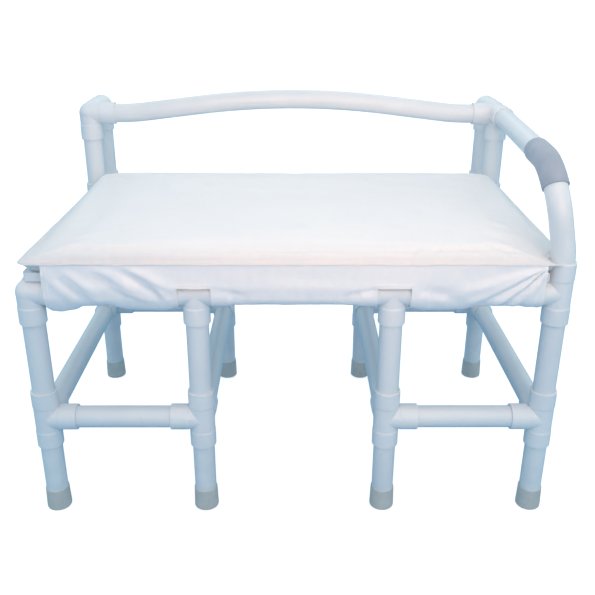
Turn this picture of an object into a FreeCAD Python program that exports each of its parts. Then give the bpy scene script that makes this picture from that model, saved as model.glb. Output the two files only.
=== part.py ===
import FreeCAD, Part

import math
import os

# Bath transfer bench in millimetres: +Z is up, +X is the user's left-to-right as seen from the front,
# and +Y runs from the front rail to the backrest. The origin is on the floor under the middle of the
# bench's overall box.
#
# The frame is welded from furniture-grade PVC pipe. Two leg boxes stand one inside and one outside the
# tub, and the open middle bay straddles the tub wall. A backrest hoop runs across the rear and one
# bent armrest closes the right end. A padded seat lies on a board over the rails.

# ---- overall sizes, between pipe centres ----
FRAME_WIDTH = 952.0          # outer legs, left to right
STRADDLE_WIDTH = 354.8       # inner legs, left to right, over the tub wall
FRAME_DEPTH = 544.0          # front row of legs to rear row
CROSSBAR_HEIGHT = 206.0      # lower bars above the floor
SEAT_RAIL_HEIGHT = 467.0     # seat rails above the floor
BACK_RISE = 225.0            # seat rails up to the ends of the backrest rail

# ---- pipe ----
PIPE_DIAMETER = 42.2
PIPE_WALL = 3.6
CEMENT_GAP = 0.05            # solvent film between a pipe and its socket, per side
STOP_GAP = 0.5               # pipe end to the stop inside the socket

# ---- moulded fittings ----
HUB_WALL = 2.9               # added to the pipe's radius along the hub
SOCKET_WALL = 3.8            # added to the pipe's radius along each socket
SOCKET_DEPTH = 32.0
HUB_STEP = 3.5               # side of the hub to the bottom of a socket
SOCKET_TAPER = 3.0           # length of the step between hub and socket
SOCKET_LIP = 1.2             # rounding at a socket's mouth
BALL_EXTRA = 0.5             # a corner's ball stands this far proud of the hub
SEAM_ANGLE = 22.0            # turn of each arm's seam about its own axis, degrees

# ---- rubber tips ----
TIP_HEIGHT = 44.0
TIP_SOLE = 7.0
TIP_WALL = 1.8
TIP_FLARE = 1.0              # foot beyond the neck, all round
TIP_FOOT_HEIGHT = 9.0
TIP_EDGE = 2.5
TIP_GAP = 0.1
TREAD_DEPTH = 1.5
TREAD_WIDTH = 2.0
TREAD_RADII = (10.0, 16.0)

# ---- backrest rail: level ends, a reverse bend, a sloping run and a broad crown ----
BACK_SLOPE = 7.0             # steepest slope, degrees
BACK_END_RADIUS = 500.0
BACK_CROWN_RADIUS = 1800.0
BACK_LEVEL_OUTSIDE = 12.0    # level pipe beyond the mouth of the socket

# ---- armrest: it toes in towards the sitter, with one main bend and a small bend above each socket ----
ARM_BEND_RADIUS = 100.0
ARM_TOE_IN = 28.0            # main bend's corner, in from the sockets
ARM_SET_BACK = 16.0          # main bend's corner, behind the front socket
ARM_DROP = 4.0               # main bend's corner, below the backrest's sockets
ARM_FOOT_RADIUS = 110.0
ARM_FOOT_OUTSIDE = 14.0      # front socket's mouth to the small bend's corner
ARM_HEEL_RADIUS = 300.0
ARM_HEEL_OUTSIDE = 14.0      # back socket's mouth to the small bend's corner
GRIP_LENGTH = 142.0
GRIP_WALL = 2.6
GRIP_GAP = 0.1
GRIP_BEND_ANGLE = 50.0       # share of the main bend that the grip covers, degrees

# ---- seat board ----
BOARD_THICKNESS = 16.0
BOARD_SIDE_OVERHANG = 4.0    # past the outer leg centres
BOARD_EDGE_OVERHANG = 13.0   # past the centres of the front and rear rails
BOARD_CORNER = 8.0
POST_GAP = 2.0               # around the sockets that stand up through the seat
SEAT_GAP = 0.3               # under and around soft pieces
CUTTER_EXTRA = 1.0           # an open slit's cutter past the piece it cuts

# ---- fixings ----
SCREW_RADIUS = 2.4
SCREW_HEAD_RADIUS = 5.0
SCREW_HEAD_HEIGHT = 3.0
SCREW_POINT = 5.0            # length inside the pipe
SCREW_GAP = 0.05
STUD_RADIUS = 2.0
STUD_CAP_RADIUS = 7.0
STUD_CAP_HEIGHT = 3.0
STUD_CAP_EDGE = 2.0
STUD_BITE = 9.0              # length inside the board

# ---- cushion ----
CUSHION_SIDE_OVERHANG = 10.0  # past the outer leg centres
CUSHION_SEAM_GAP = 0.2       # front seam past the inner face of the flap sewn to it
CUSHION_SEAM_RISE = 20.0     # seam above the board
CUSHION_THICKNESS = 47.0
CUSHION_TOP_INSET = 22.0
CUSHION_BOTTOM_INSET = 16.0
CUSHION_CORNER = 22.0
COVER_WALL = 1.5

# ---- flaps that hold the cushion to the rails ----
FLAP_THICKNESS = 1.6
FLAP_END_INSET = 33.0        # from the outer leg centres
FLAP_SLIT_GAP = 6.1          # each side of the fittings on the inner legs
FLAP_SLIT_ABOVE_RAIL = 17.0  # top of a slit above the rail's centre
FLAP_TAIL = 18.0             # length that lies under the board

# ---- worked out from the values above ----
PIPE_R = PIPE_DIAMETER / 2
BORE_R = PIPE_R - PIPE_WALL
HUB_R = PIPE_R + HUB_WALL
SOCKET_R = PIPE_R + SOCKET_WALL
HUB_REACH = HUB_R + HUB_STEP         # fitting centre to the bottom of a socket
FITTING_REACH = HUB_REACH + SOCKET_DEPTH
PIPE_END = HUB_REACH + STOP_GAP      # fitting centre to the end of a pipe
FLAP_IN_R = SOCKET_R + SEAT_GAP      # the flaps clear the sockets on the rails
FLAP_OUT_R = FLAP_IN_R + FLAP_THICKNESS
FLAP_END = FRAME_WIDTH / 2 - FLAP_END_INSET
SLIT_SIDE = SOCKET_R + FLAP_SLIT_GAP  # half the width of a slit
BACK_HEIGHT = SEAT_RAIL_HEIGHT + BACK_RISE

X_OUTER = FRAME_WIDTH / 2
X_INNER = STRADDLE_WIDTH / 2
BRACE_OFFSET = 2 * FITTING_REACH     # two fittings mouth to mouth
OVERALL_DEPTH = FLAP_OUT_R + FRAME_DEPTH + BRACE_OFFSET + SOCKET_R
Y_FRONT = -OVERALL_DEPTH / 2 + FLAP_OUT_R
Y_REAR = Y_FRONT + FRAME_DEPTH
Y_BRACE = Y_REAR + BRACE_OFFSET

BOARD_BOTTOM = SEAT_RAIL_HEIGHT + SOCKET_R
BOARD_TOP = BOARD_BOTTOM + BOARD_THICKNESS
BOARD_SIDE = X_OUTER + BOARD_SIDE_OVERHANG
CUSHION_SIDE = X_OUTER + CUSHION_SIDE_OVERHANG
CUSHION_FRONT = Y_FRONT - FLAP_IN_R + CUSHION_SEAM_GAP
CUSHION_BACK = Y_REAR - SOCKET_R - POST_GAP
CUSHION_BOTTOM = BOARD_TOP + SEAT_GAP
SEAM_HEIGHT = BOARD_TOP + CUSHION_SEAM_RISE

X, Y, Z = FreeCAD.Vector(1, 0, 0), FreeCAD.Vector(0, 1, 0), FreeCAD.Vector(0, 0, 1)
RIGHT, LEFT, BACK, FRONT, UP, DOWN = X, -X, Y, -Y, Z, -Z
COLUMNS = {"left_outer": -X_OUTER, "left_inner": -X_INNER, "right_inner": X_INNER, "right_outer": X_OUTER}
ROWS = {"front": Y_FRONT, "rear": Y_REAR}
INTO_BAY = {"left_outer": RIGHT, "left_inner": LEFT, "right_inner": RIGHT, "right_outer": LEFT}
TOWARDS_OTHER_ROW = {"front": BACK, "rear": FRONT}


def point(x, y, z):
    return FreeCAD.Vector(x, y, z)


def along(shape, origin, direction):
    """Turn a round shape made along +Z to a direction and move it to its origin.

    Its seam is turned away from the planes of the other arms, where edges of a fitting meet.
    """
    placed = shape.copy()
    turned_seam = FreeCAD.Rotation(Z, SEAM_ANGLE)
    placed.Placement = FreeCAD.Placement(origin, FreeCAD.Rotation(Z, direction).multiply(turned_seam))
    return placed


def cylinder(origin, direction, radius, length):
    return Part.makeCylinder(radius, length, origin, direction)


def turned(edges):
    """Revolve a closed outline in the XZ plane about Z."""
    return Part.Face(Part.Wire(edges)).revolve(point(0, 0, 0), Z, 360)


def line(start, end):
    return Part.LineSegment(start, end).toShape()


def arc(start, middle, end):
    return Part.Arc(start, middle, end).toShape()


def outline(points):
    """Straight edges through the points and back to the first."""
    return [line(a, b) for a, b in zip(points, points[1:] + points[:1])]


def group(solids):
    return Part.makeCompound(solids)


# ---- pipes and fittings ----

def pipe(start, end):
    """A pipe between two fitting centres, cut to stand off both socket stops."""
    direction = (end - start).normalize()
    length = start.distanceToPoint(end) - 2 * PIPE_END
    foot = start + direction * PIPE_END
    outer = cylinder(foot, direction, PIPE_R, length)
    return outer.cut(cylinder(foot, direction, BORE_R, length))


def socket_arm():
    """Half a run of a fitting along +Z: the hub, its step and the socket with a rounded lip."""
    step = FITTING_REACH - SOCKET_DEPTH - SOCKET_TAPER
    lip = SOCKET_LIP * (1 - math.sqrt(0.5))
    edges = [
        line(point(0, 0, 0), point(HUB_R, 0, 0)),
        line(point(HUB_R, 0, 0), point(HUB_R, 0, step)),
        line(point(HUB_R, 0, step), point(SOCKET_R, 0, step + SOCKET_TAPER)),
        line(point(SOCKET_R, 0, step + SOCKET_TAPER), point(SOCKET_R, 0, FITTING_REACH - SOCKET_LIP)),
        arc(
            point(SOCKET_R, 0, FITTING_REACH - SOCKET_LIP),
            point(SOCKET_R - lip, 0, FITTING_REACH - lip),
            point(SOCKET_R - SOCKET_LIP, 0, FITTING_REACH),
        ),
        line(point(SOCKET_R - SOCKET_LIP, 0, FITTING_REACH), point(0, 0, FITTING_REACH)),
        line(point(0, 0, FITTING_REACH), point(0, 0, 0)),
    ]
    return turned(edges)


def fitting(centre, directions):
    """A moulded fitting with a socket in each direction and a bore that joins them."""
    arm = socket_arm()
    bodies = [along(arm, centre, direction) for direction in directions]
    bore = Part.makeCylinder(BORE_R, FITTING_REACH)
    mouth = Part.makeCylinder(PIPE_R + CEMENT_GAP, SOCKET_DEPTH)
    bores = [along(bore, centre, direction) for direction in directions]
    mouths = [along(mouth, centre + direction * HUB_REACH, direction) for direction in directions]
    straight_through = any(-one in directions for one in directions)
    if not straight_through:
        bodies.append(Part.makeSphere(HUB_R + BALL_EXTRA, centre))
        bores.append(Part.makeSphere(BORE_R + BALL_EXTRA, centre))
    solid = bodies[0].fuse(bodies[1:]).removeSplitter()
    hollow = bores[0].fuse(bores[1:] + mouths)
    return solid.cut(hollow)


def rubber_tip(centre):
    """A cup that the leg stands in, flared at the foot, with two tread grooves in its sole."""
    inner = PIPE_R + TIP_GAP
    neck = inner + TIP_WALL
    foot = neck + TIP_FLARE
    edge = TIP_EDGE * (1 - math.sqrt(0.5))
    edges = [
        line(point(0, 0, 0), point(foot - TIP_EDGE, 0, 0)),
        arc(point(foot - TIP_EDGE, 0, 0), point(foot - edge, 0, edge), point(foot, 0, TIP_EDGE)),
        line(point(foot, 0, TIP_EDGE), point(foot, 0, TIP_FOOT_HEIGHT)),
        line(point(foot, 0, TIP_FOOT_HEIGHT), point(neck, 0, TIP_HEIGHT)),
        line(point(neck, 0, TIP_HEIGHT), point(inner, 0, TIP_HEIGHT)),
        line(point(inner, 0, TIP_HEIGHT), point(inner, 0, TIP_SOLE)),
        line(point(inner, 0, TIP_SOLE), point(0, 0, TIP_SOLE)),
        line(point(0, 0, TIP_SOLE), point(0, 0, 0)),
    ]
    tip = turned(edges)
    for radius in TREAD_RADII:
        groove = Part.makeCylinder(radius + TREAD_WIDTH, TREAD_DEPTH)
        tip = tip.cut(groove.cut(Part.makeCylinder(radius, TREAD_DEPTH)))
    return along(tip, centre, UP)


# ---- leg boxes ----

def leg_place(row, column, height):
    return point(COLUMNS[column], ROWS[row], height)


def legs_of(side):
    return [(row, side + place) for row in ROWS for place in ("_outer", "_inner")]


def lower_leg(row, column):
    """Runs from the tip's sole up into the crossbar fitting."""
    foot = leg_place(row, column, TIP_SOLE)
    length = CROSSBAR_HEIGHT - PIPE_END - TIP_SOLE
    return cylinder(foot, UP, PIPE_R, length).cut(cylinder(foot, UP, BORE_R, length))


def upper_leg(row, column):
    return pipe(leg_place(row, column, CROSSBAR_HEIGHT), leg_place(row, column, SEAT_RAIL_HEIGHT))


def crossbar_fitting(row, column):
    directions = [UP, DOWN, INTO_BAY[column], TOWARDS_OTHER_ROW[row]]
    return fitting(leg_place(row, column, CROSSBAR_HEIGHT), directions)


def leg_box_nodes():
    feet = [leg_place(row, column, 0) for row in ROWS for column in COLUMNS]
    nodes = {"rubber_tips": group([rubber_tip(foot) for foot in feet])}
    for side in ("left", "right"):
        nodes[side + "_lower_legs"] = group([lower_leg(*leg) for leg in legs_of(side)])
        nodes[side + "_upper_legs"] = group([upper_leg(*leg) for leg in legs_of(side)])
        for row in ROWS:
            ends = [leg_place(row, side + place, CROSSBAR_HEIGHT) for place in ("_outer", "_inner")]
            nodes[f"{row}_{side}_crossbar"] = pipe(*ends)
    for column in COLUMNS:
        ends = [leg_place(row, column, CROSSBAR_HEIGHT) for row in ROWS]
        nodes[column + "_side_crossbar"] = pipe(*ends)
        for row in ROWS:
            nodes[f"{row}_{column}_crossbar_fitting"] = crossbar_fitting(row, column)
    return nodes


# ---- seat frame ----

def seat_fitting_directions(row, column):
    """Each seat fitting meets its leg and rails, and at three corners it also carries a post."""
    directions = [DOWN, TOWARDS_OTHER_ROW[row]]
    if column.endswith("inner"):
        directions += [LEFT, RIGHT]
    else:
        directions.append(INTO_BAY[column])
        if row == "rear":
            directions += [UP, BACK]
        elif column == "right_outer":
            directions.append(UP)
    return directions


def screw_places():
    """Over the middle of each bay, on the front and rear rails."""
    outer_bay = (X_OUTER + X_INNER) / 2
    return [(x, y) for y in (Y_FRONT, Y_REAR) for x in (-outer_bay, 0.0, outer_bay)]


def screw_holes():
    """Holes up from the rails' middles: pilots through their tops, then clearance through the board."""
    length = BOARD_TOP - SEAT_RAIL_HEIGHT
    radius = SCREW_RADIUS + SCREW_GAP
    return group([cylinder(point(x, y, SEAT_RAIL_HEIGHT), UP, radius, length) for x, y in screw_places()])


def seat_frame_nodes():
    nodes = {}
    bays = {
        "left": ("left_outer", "left_inner"),
        "middle": ("left_inner", "right_inner"),
        "right": ("right_inner", "right_outer"),
    }
    for row in ROWS:
        for bay, columns in bays.items():
            ends = [leg_place(row, column, SEAT_RAIL_HEIGHT) for column in columns]
            nodes[f"{row}_{bay}_seat_rail"] = pipe(*ends).cut(screw_holes())
        for column in COLUMNS:
            centre = leg_place(row, column, SEAT_RAIL_HEIGHT)
            nodes[f"{row}_{column}_seat_fitting"] = fitting(centre, seat_fitting_directions(row, column))
    for column in COLUMNS:
        ends = [leg_place(row, column, SEAT_RAIL_HEIGHT) for row in ROWS]
        nodes[column + "_side_seat_rail"] = pipe(*ends)
    return nodes


# ---- backrest and armrest ----

class Bend:
    """A tangent arc that rounds one corner of a tube's centre line."""

    def __init__(self, before, corner, after, radius):
        arriving = (corner - before).normalize()
        leaving = (after - corner).normalize()
        self.radius = radius
        self.angle = arriving.getAngle(leaving)
        tangent = radius * math.tan(self.angle / 2)
        self.start = corner - arriving * tangent
        self.end = corner + leaving * tangent
        self.centre = corner + (leaving - arriving).normalize() * (radius / math.cos(self.angle / 2))
        self.arriving = arriving

    def at(self, angle):
        """The point on the arc after turning through an angle in radians."""
        outward = (self.start - self.centre).normalize()
        return self.centre + outward * (self.radius * math.cos(angle)) + \
            self.arriving * (self.radius * math.sin(angle))

    def edge(self, first, last):
        """The stretch of the arc between two turned angles."""
        return arc(self.at(first), self.at((first + last) / 2), self.at(last))


def centre_line(points, radii):
    """Straight runs joined by tangent arcs, one radius for each inner point."""
    bends = [Bend(*points[i:i + 3], radius) for i, radius in enumerate(radii)]
    edges = []
    start = points[0]
    for bend in bends:
        edges += [line(start, bend.start), bend.edge(0, bend.angle)]
        start = bend.end
    return edges + [line(start, points[-1])]


def tube(edges, inner, outer):
    """Two circles swept along one centre line."""
    path = Part.Wire(edges)
    start = edges[0].valueAt(edges[0].FirstParameter)
    direction = edges[0].tangentAt(edges[0].FirstParameter)
    sweeps = []
    for radius in (outer, inner):
        circle = Part.Wire(Part.makeCircle(radius, start, direction))
        sweeps.append(path.makePipeShell([circle], True, False))
    return sweeps[0].cut(sweeps[1])


def back_rail():
    """Level in its sockets, then it slopes up to a broad crown at the middle."""
    end = X_OUTER - PIPE_END
    turn_tangent = BACK_END_RADIUS * math.tan(math.radians(BACK_SLOPE / 2))
    corner = X_OUTER - FITTING_REACH - BACK_LEVEL_OUTSIDE - turn_tangent
    peak = BACK_HEIGHT + corner * math.tan(math.radians(BACK_SLOPE))
    points = [
        point(-end, Y_REAR, BACK_HEIGHT),
        point(-corner, Y_REAR, BACK_HEIGHT),
        point(0, Y_REAR, peak),
        point(corner, Y_REAR, BACK_HEIGHT),
        point(end, Y_REAR, BACK_HEIGHT),
    ]
    return tube(centre_line(points, [BACK_END_RADIUS, BACK_CROWN_RADIUS, BACK_END_RADIUS]), BORE_R, PIPE_R)


def armrest_points():
    """From the front corner's socket up, over the main bend and back to the backrest's socket."""
    foot_corner = SEAT_RAIL_HEIGHT + FITTING_REACH + ARM_FOOT_OUTSIDE
    return [
        point(X_OUTER, Y_FRONT, SEAT_RAIL_HEIGHT + PIPE_END),
        point(X_OUTER, Y_FRONT, foot_corner),
        point(X_OUTER - ARM_TOE_IN, Y_FRONT + ARM_SET_BACK, BACK_HEIGHT - ARM_DROP),
        point(X_OUTER, Y_REAR - FITTING_REACH - ARM_HEEL_OUTSIDE, BACK_HEIGHT),
        point(X_OUTER, Y_REAR - PIPE_END, BACK_HEIGHT),
    ]


def armrest_tube():
    radii = [ARM_FOOT_RADIUS, ARM_BEND_RADIUS, ARM_HEEL_RADIUS]
    return tube(centre_line(armrest_points(), radii), BORE_R, PIPE_R)


def armrest_grip():
    """A sleeve over the upper part of the main bend and the start of the level run."""
    bend = Bend(*armrest_points()[1:4], ARM_BEND_RADIUS)
    covered = math.radians(GRIP_BEND_ANGLE)
    run = GRIP_LENGTH - ARM_BEND_RADIUS * covered
    level = (armrest_points()[3] - bend.end).normalize()
    inner = PIPE_R + GRIP_GAP
    edges = [bend.edge(bend.angle - covered, bend.angle), line(bend.end, bend.end + level * run)]
    return tube(edges, inner, inner + GRIP_WALL)


def backrest_nodes():
    nodes = {"back_rail": back_rail(), "armrest_tube": armrest_tube(), "armrest_grip": armrest_grip()}
    nipples = []
    for side, x in (("left", -X_OUTER), ("right", X_OUTER)):
        seat, top = point(x, Y_REAR, SEAT_RAIL_HEIGHT), point(x, Y_REAR, BACK_HEIGHT)
        brace_foot, brace_top = point(x, Y_BRACE, SEAT_RAIL_HEIGHT), point(x, Y_BRACE, BACK_HEIGHT)
        top_directions = [DOWN, BACK, RIGHT] if side == "left" else [DOWN, BACK, LEFT, FRONT]
        nodes[side + "_back_post"] = pipe(seat, top)
        nodes[side + "_brace_post"] = pipe(brace_foot, brace_top)
        nodes[side + "_back_top_fitting"] = fitting(top, top_directions)
        nodes[side + "_brace_top_elbow"] = fitting(brace_top, [DOWN, FRONT])
        nodes[side + "_brace_foot_elbow"] = fitting(brace_foot, [UP, FRONT])
        nipples += [pipe(seat, brace_foot), pipe(top, brace_top)]
    nodes["coupling_nipples"] = group(nipples)
    return nodes


# ---- seat ----

def rounded_slab(side, front, back, corner, bottom, top):
    """An upright slab with rounded corners in plan."""
    slab = Part.makeBox(2 * side, back - front, top - bottom, point(-side, front, bottom))
    uprights = [edge for edge in slab.Edges if abs(edge.tangentAt(edge.FirstParameter).z) > 0.5]
    return slab.makeFillet(corner, uprights)


def post_notches(places, radius):
    """Room for the sockets that stand up through the seat."""
    height = CUSHION_THICKNESS + BOARD_THICKNESS + FITTING_REACH
    return group([cylinder(point(x, y, SEAT_RAIL_HEIGHT), UP, radius, height) for x, y in places])


def seat_board():
    front, back = Y_FRONT - BOARD_EDGE_OVERHANG, Y_REAR + BOARD_EDGE_OVERHANG
    board = rounded_slab(BOARD_SIDE, front, back, BOARD_CORNER, BOARD_BOTTOM, BOARD_TOP)
    posts = [(X_OUTER, Y_FRONT), (X_OUTER, Y_REAR), (-X_OUTER, Y_REAR)]
    board = board.cut(post_notches(posts, SOCKET_R + POST_GAP)).cut(screw_holes())
    for x, y in screw_places():
        head = point(x, y, BOARD_TOP - SCREW_HEAD_HEIGHT)
        board = board.cut(cylinder(head, UP, SCREW_HEAD_RADIUS + SCREW_GAP, SCREW_HEAD_HEIGHT))
    return board.cut(stud_holes())


def seat_screws():
    """Pan heads flush with the board, points through the tops of the rails."""
    screws = []
    for x, y in screw_places():
        tip = SEAT_RAIL_HEIGHT + BORE_R - SCREW_POINT
        shank = cylinder(point(x, y, tip), UP, SCREW_RADIUS, BOARD_TOP - tip)
        head = cylinder(point(x, y, BOARD_TOP - SCREW_HEAD_HEIGHT), UP, SCREW_HEAD_RADIUS, SCREW_HEAD_HEIGHT)
        screws.append(shank.fuse(head).removeSplitter())
    return group(screws)


def plan_outline(inset, height):
    """The cushion's rounded outline in plan at one height."""
    side, front, back = CUSHION_SIDE - inset, CUSHION_FRONT + inset, CUSHION_BACK - inset
    corner = CUSHION_CORNER
    cut = corner * (1 - math.sqrt(0.5))
    edges = []
    quarter = [(side, front, 1, -1), (side, back, 1, 1), (-side, back, -1, 1), (-side, front, -1, -1)]
    ends = []
    for x, y, out_x, out_y in quarter:
        along_x = point(x - out_x * corner, y, height)
        along_y = point(x, y - out_y * corner, height)
        middle = point(x - out_x * cut, y - out_y * cut, height)
        first, last = (along_x, along_y) if out_x * out_y < 0 else (along_y, along_x)
        ends.append((first, middle, last))
    for (first, middle, last), (following, _, _) in zip(ends, ends[1:] + ends[:1]):
        edges += [arc(first, middle, last), line(last, following)]
    return Part.Wire(edges)


def pillow(skin):
    """The crowned cushion with its perimeter seam, shrunk all round by a skin."""
    bottom = plan_outline(CUSHION_BOTTOM_INSET + skin, CUSHION_BOTTOM + skin)
    seam = plan_outline(2 * skin, SEAM_HEIGHT)
    top = plan_outline(CUSHION_TOP_INSET + skin, CUSHION_BOTTOM + CUSHION_THICKNESS - skin)
    body = Part.makeLoft([bottom, seam, top], True, True)
    return body.cut(post_notches([(X_OUTER, Y_FRONT)], SOCKET_R + POST_GAP + skin))


# ---- flaps ----

def flap_shape(row):
    """A strip sewn to the seam that drops outside the rail, passes under it and rises to the board."""
    y_rail = ROWS[row]
    outward = -1 if row == "front" else 1
    tail_top = BOARD_BOTTOM - SEAT_GAP
    drop_top = SEAM_HEIGHT if row == "front" else BOARD_TOP + SEAT_GAP

    def at(out, height):
        return point(-FLAP_END, y_rail + outward * out, height)

    tail_end = -(FLAP_OUT_R + FLAP_TAIL)
    tail_under = tail_top - FLAP_THICKNESS
    edges = [
        line(at(FLAP_IN_R, drop_top), at(FLAP_IN_R, SEAT_RAIL_HEIGHT)),
        arc(at(FLAP_IN_R, SEAT_RAIL_HEIGHT), at(0, SEAT_RAIL_HEIGHT - FLAP_IN_R),
            at(-FLAP_IN_R, SEAT_RAIL_HEIGHT)),
        line(at(-FLAP_IN_R, SEAT_RAIL_HEIGHT), at(-FLAP_IN_R, tail_top)),
        line(at(-FLAP_IN_R, tail_top), at(tail_end, tail_top)),
        line(at(tail_end, tail_top), at(tail_end, tail_under)),
        line(at(tail_end, tail_under), at(-FLAP_OUT_R, tail_under)),
        line(at(-FLAP_OUT_R, tail_under), at(-FLAP_OUT_R, SEAT_RAIL_HEIGHT)),
        arc(at(-FLAP_OUT_R, SEAT_RAIL_HEIGHT), at(0, SEAT_RAIL_HEIGHT - FLAP_OUT_R),
            at(FLAP_OUT_R, SEAT_RAIL_HEIGHT)),
        line(at(FLAP_OUT_R, SEAT_RAIL_HEIGHT), at(FLAP_OUT_R, drop_top)),
        line(at(FLAP_OUT_R, drop_top), at(FLAP_IN_R, drop_top)),
    ]
    length = point(2 * FLAP_END, 0, 0)
    strip = Part.Face(Part.Wire(edges)).extrude(length)
    if row == "rear":
        seam = CUSHION_BACK - Y_REAR + SEAT_GAP
        apron = outline([
            at(seam, SEAM_HEIGHT - FLAP_THICKNESS),
            at(FLAP_IN_R, drop_top),
            at(FLAP_OUT_R, drop_top),
            at(FLAP_OUT_R, drop_top + FLAP_THICKNESS),
            at(seam, SEAM_HEIGHT),
        ])
        strip = strip.fuse(Part.Face(Part.Wire(apron)).extrude(length)).removeSplitter()
    return strip.cut(flap_slits(row))


def flap_slits(row):
    """Around each inner leg: low in front of the fitting, full height behind it."""
    y_rail = ROWS[row]
    slits = []
    width = 2 * SLIT_SIDE
    depth = FLAP_OUT_R + FLAP_TAIL + CUTTER_EXTRA
    bottom = SEAT_RAIL_HEIGHT - FLAP_OUT_R - CUTTER_EXTRA
    low = SEAT_RAIL_HEIGHT + FLAP_SLIT_ABOVE_RAIL - bottom
    full = BOARD_BOTTOM - bottom
    inward = y_rail if row == "front" else y_rail - depth
    for x in (-X_INNER, X_INNER):
        left = x - SLIT_SIDE
        slits.append(Part.makeBox(width, 2 * depth, low, point(left, y_rail - depth, bottom)))
        slits.append(Part.makeBox(width, depth, full, point(left, inward, bottom)))
    return group(slits)


def stud_places():
    """Two press studs in each stretch of a flap's tail."""
    inset = FLAP_OUT_R + FLAP_TAIL / 2
    outside, inside = X_INNER + SLIT_SIDE, X_INNER - SLIT_SIDE
    stretches = [(-FLAP_END, -outside), (-inside, inside), (outside, FLAP_END)]
    places = []
    for left, right in stretches:
        for share in (0.25, 0.75):
            x = left + share * (right - left)
            places += [(x, Y_FRONT + inset), (x, Y_REAR - inset)]
    return places


def stud_holes():
    """Through the flaps' tails and up into the board."""
    start = BOARD_BOTTOM - SEAT_GAP - FLAP_THICKNESS
    length = BOARD_BOTTOM + STUD_BITE - start
    radius = STUD_RADIUS + SCREW_GAP
    return group([cylinder(point(x, y, start), UP, radius, length) for x, y in stud_places()])


def flap_studs():
    """Round-edged caps under the tails on shanks that hold in the board."""
    cap_top = BOARD_BOTTOM - SEAT_GAP - FLAP_THICKNESS
    studs = []
    for x, y in stud_places():
        cap = cylinder(point(x, y, cap_top), DOWN, STUD_CAP_RADIUS, STUD_CAP_HEIGHT)
        low = [edge for edge in cap.Edges if edge.BoundBox.ZMax < cap_top - STUD_CAP_EDGE]
        cap = cap.makeFillet(STUD_CAP_EDGE, low)
        shank = cylinder(point(x, y, cap_top), UP, STUD_RADIUS, BOARD_BOTTOM + STUD_BITE - cap_top)
        studs.append(cap.fuse(shank).removeSplitter())
    return group(studs)


def seat_nodes():
    return {
        "seat_board": seat_board(),
        "seat_screws": seat_screws(),
        "cushion_cover": pillow(0).cut(pillow(COVER_WALL)),
        "cushion_foam": pillow(COVER_WALL + SEAT_GAP),
        "front_flap": flap_shape("front").cut(stud_holes()),
        "rear_flap": flap_shape("rear").cut(stud_holes()),
        "flap_studs": flap_studs(),
    }


def main():
    os.makedirs("parts", exist_ok=True)
    nodes = {**leg_box_nodes(), **seat_frame_nodes(), **backrest_nodes(), **seat_nodes()}
    for name, shape in nodes.items():
        if not shape.isValid():
            raise ValueError(name + " is not a valid shape")
        shape.exportStep(f"parts/{name}.step")
        print(f"{name}: {len(shape.Solids)} solid(s), {shape.Volume / 1000:.1f} cm3")


main()
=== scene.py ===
"""Looks of the bath transfer bench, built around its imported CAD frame. Sizes are in metres."""

import logging
import math
from collections.abc import Callable, Sequence
from dataclasses import dataclass, field
from enum import Enum

import bpy
import numpy as np
from mathutils import Matrix, Vector, noise


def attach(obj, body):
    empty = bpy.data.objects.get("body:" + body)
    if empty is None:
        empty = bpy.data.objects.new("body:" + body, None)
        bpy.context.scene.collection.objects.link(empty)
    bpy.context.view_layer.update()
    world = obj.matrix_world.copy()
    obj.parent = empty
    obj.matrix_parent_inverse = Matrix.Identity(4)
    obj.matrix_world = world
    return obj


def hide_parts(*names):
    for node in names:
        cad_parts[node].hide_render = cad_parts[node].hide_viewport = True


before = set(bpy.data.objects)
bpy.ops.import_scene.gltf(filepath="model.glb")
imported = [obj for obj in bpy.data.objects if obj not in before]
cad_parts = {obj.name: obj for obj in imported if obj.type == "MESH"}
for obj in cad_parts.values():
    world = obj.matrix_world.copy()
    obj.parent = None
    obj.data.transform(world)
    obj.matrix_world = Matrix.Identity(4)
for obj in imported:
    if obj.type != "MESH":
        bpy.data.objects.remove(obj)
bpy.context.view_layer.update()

LOG = logging.getLogger("bench")
BODY = "root"

Colour = tuple[float, float, float]
Point = tuple[float, float, float]
Rows = np.ndarray
Socket = bpy.types.NodeSocket
Material = bpy.types.Material
Mesh = bpy.types.Mesh
Piece = bpy.types.Object
Keep = Callable[[Rows, Rows], Rows]
Profile = tuple[tuple[float, float], ...]
Value = Socket | float | Sequence[float]


# ---- the frame's layout, the same as the CAD's ----

@dataclass(frozen=True)
class Layout:
    """Places and radii of the frame that the soft pieces are fitted to."""

    outer_x: float = 0.476
    inner_x: float = 0.1774
    front_y: float = -0.33055
    rear_y: float = 0.21345
    rail_z: float = 0.467
    pipe_r: float = 0.0211
    socket_r: float = 0.0249
    reach: float = 0.0595
    board_top: float = 0.5079
    seam_z: float = 0.5279
    cushion_side: float = 0.486
    cushion_front: float = -0.35555
    cushion_back: float = 0.18655
    cushion_corner: float = 0.022
    notch_r: float = 0.0269

    @property
    def columns(self) -> tuple[float, ...]:
        """The four columns of legs, from left to right."""
        return -self.outer_x, -self.inner_x, self.inner_x, self.outer_x


LAYOUT = Layout()


class Row(Enum):
    """The two long rails that a skirt wraps, by the side of the bench that they are on."""

    FRONT = -1
    REAR = 1


class Coordinates(Enum):
    """What a pattern follows: the object's own axes or the cloth's flat cut."""

    OBJECT = "Object"
    CLOTH = "UV"


# ---- finishes ----

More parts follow.
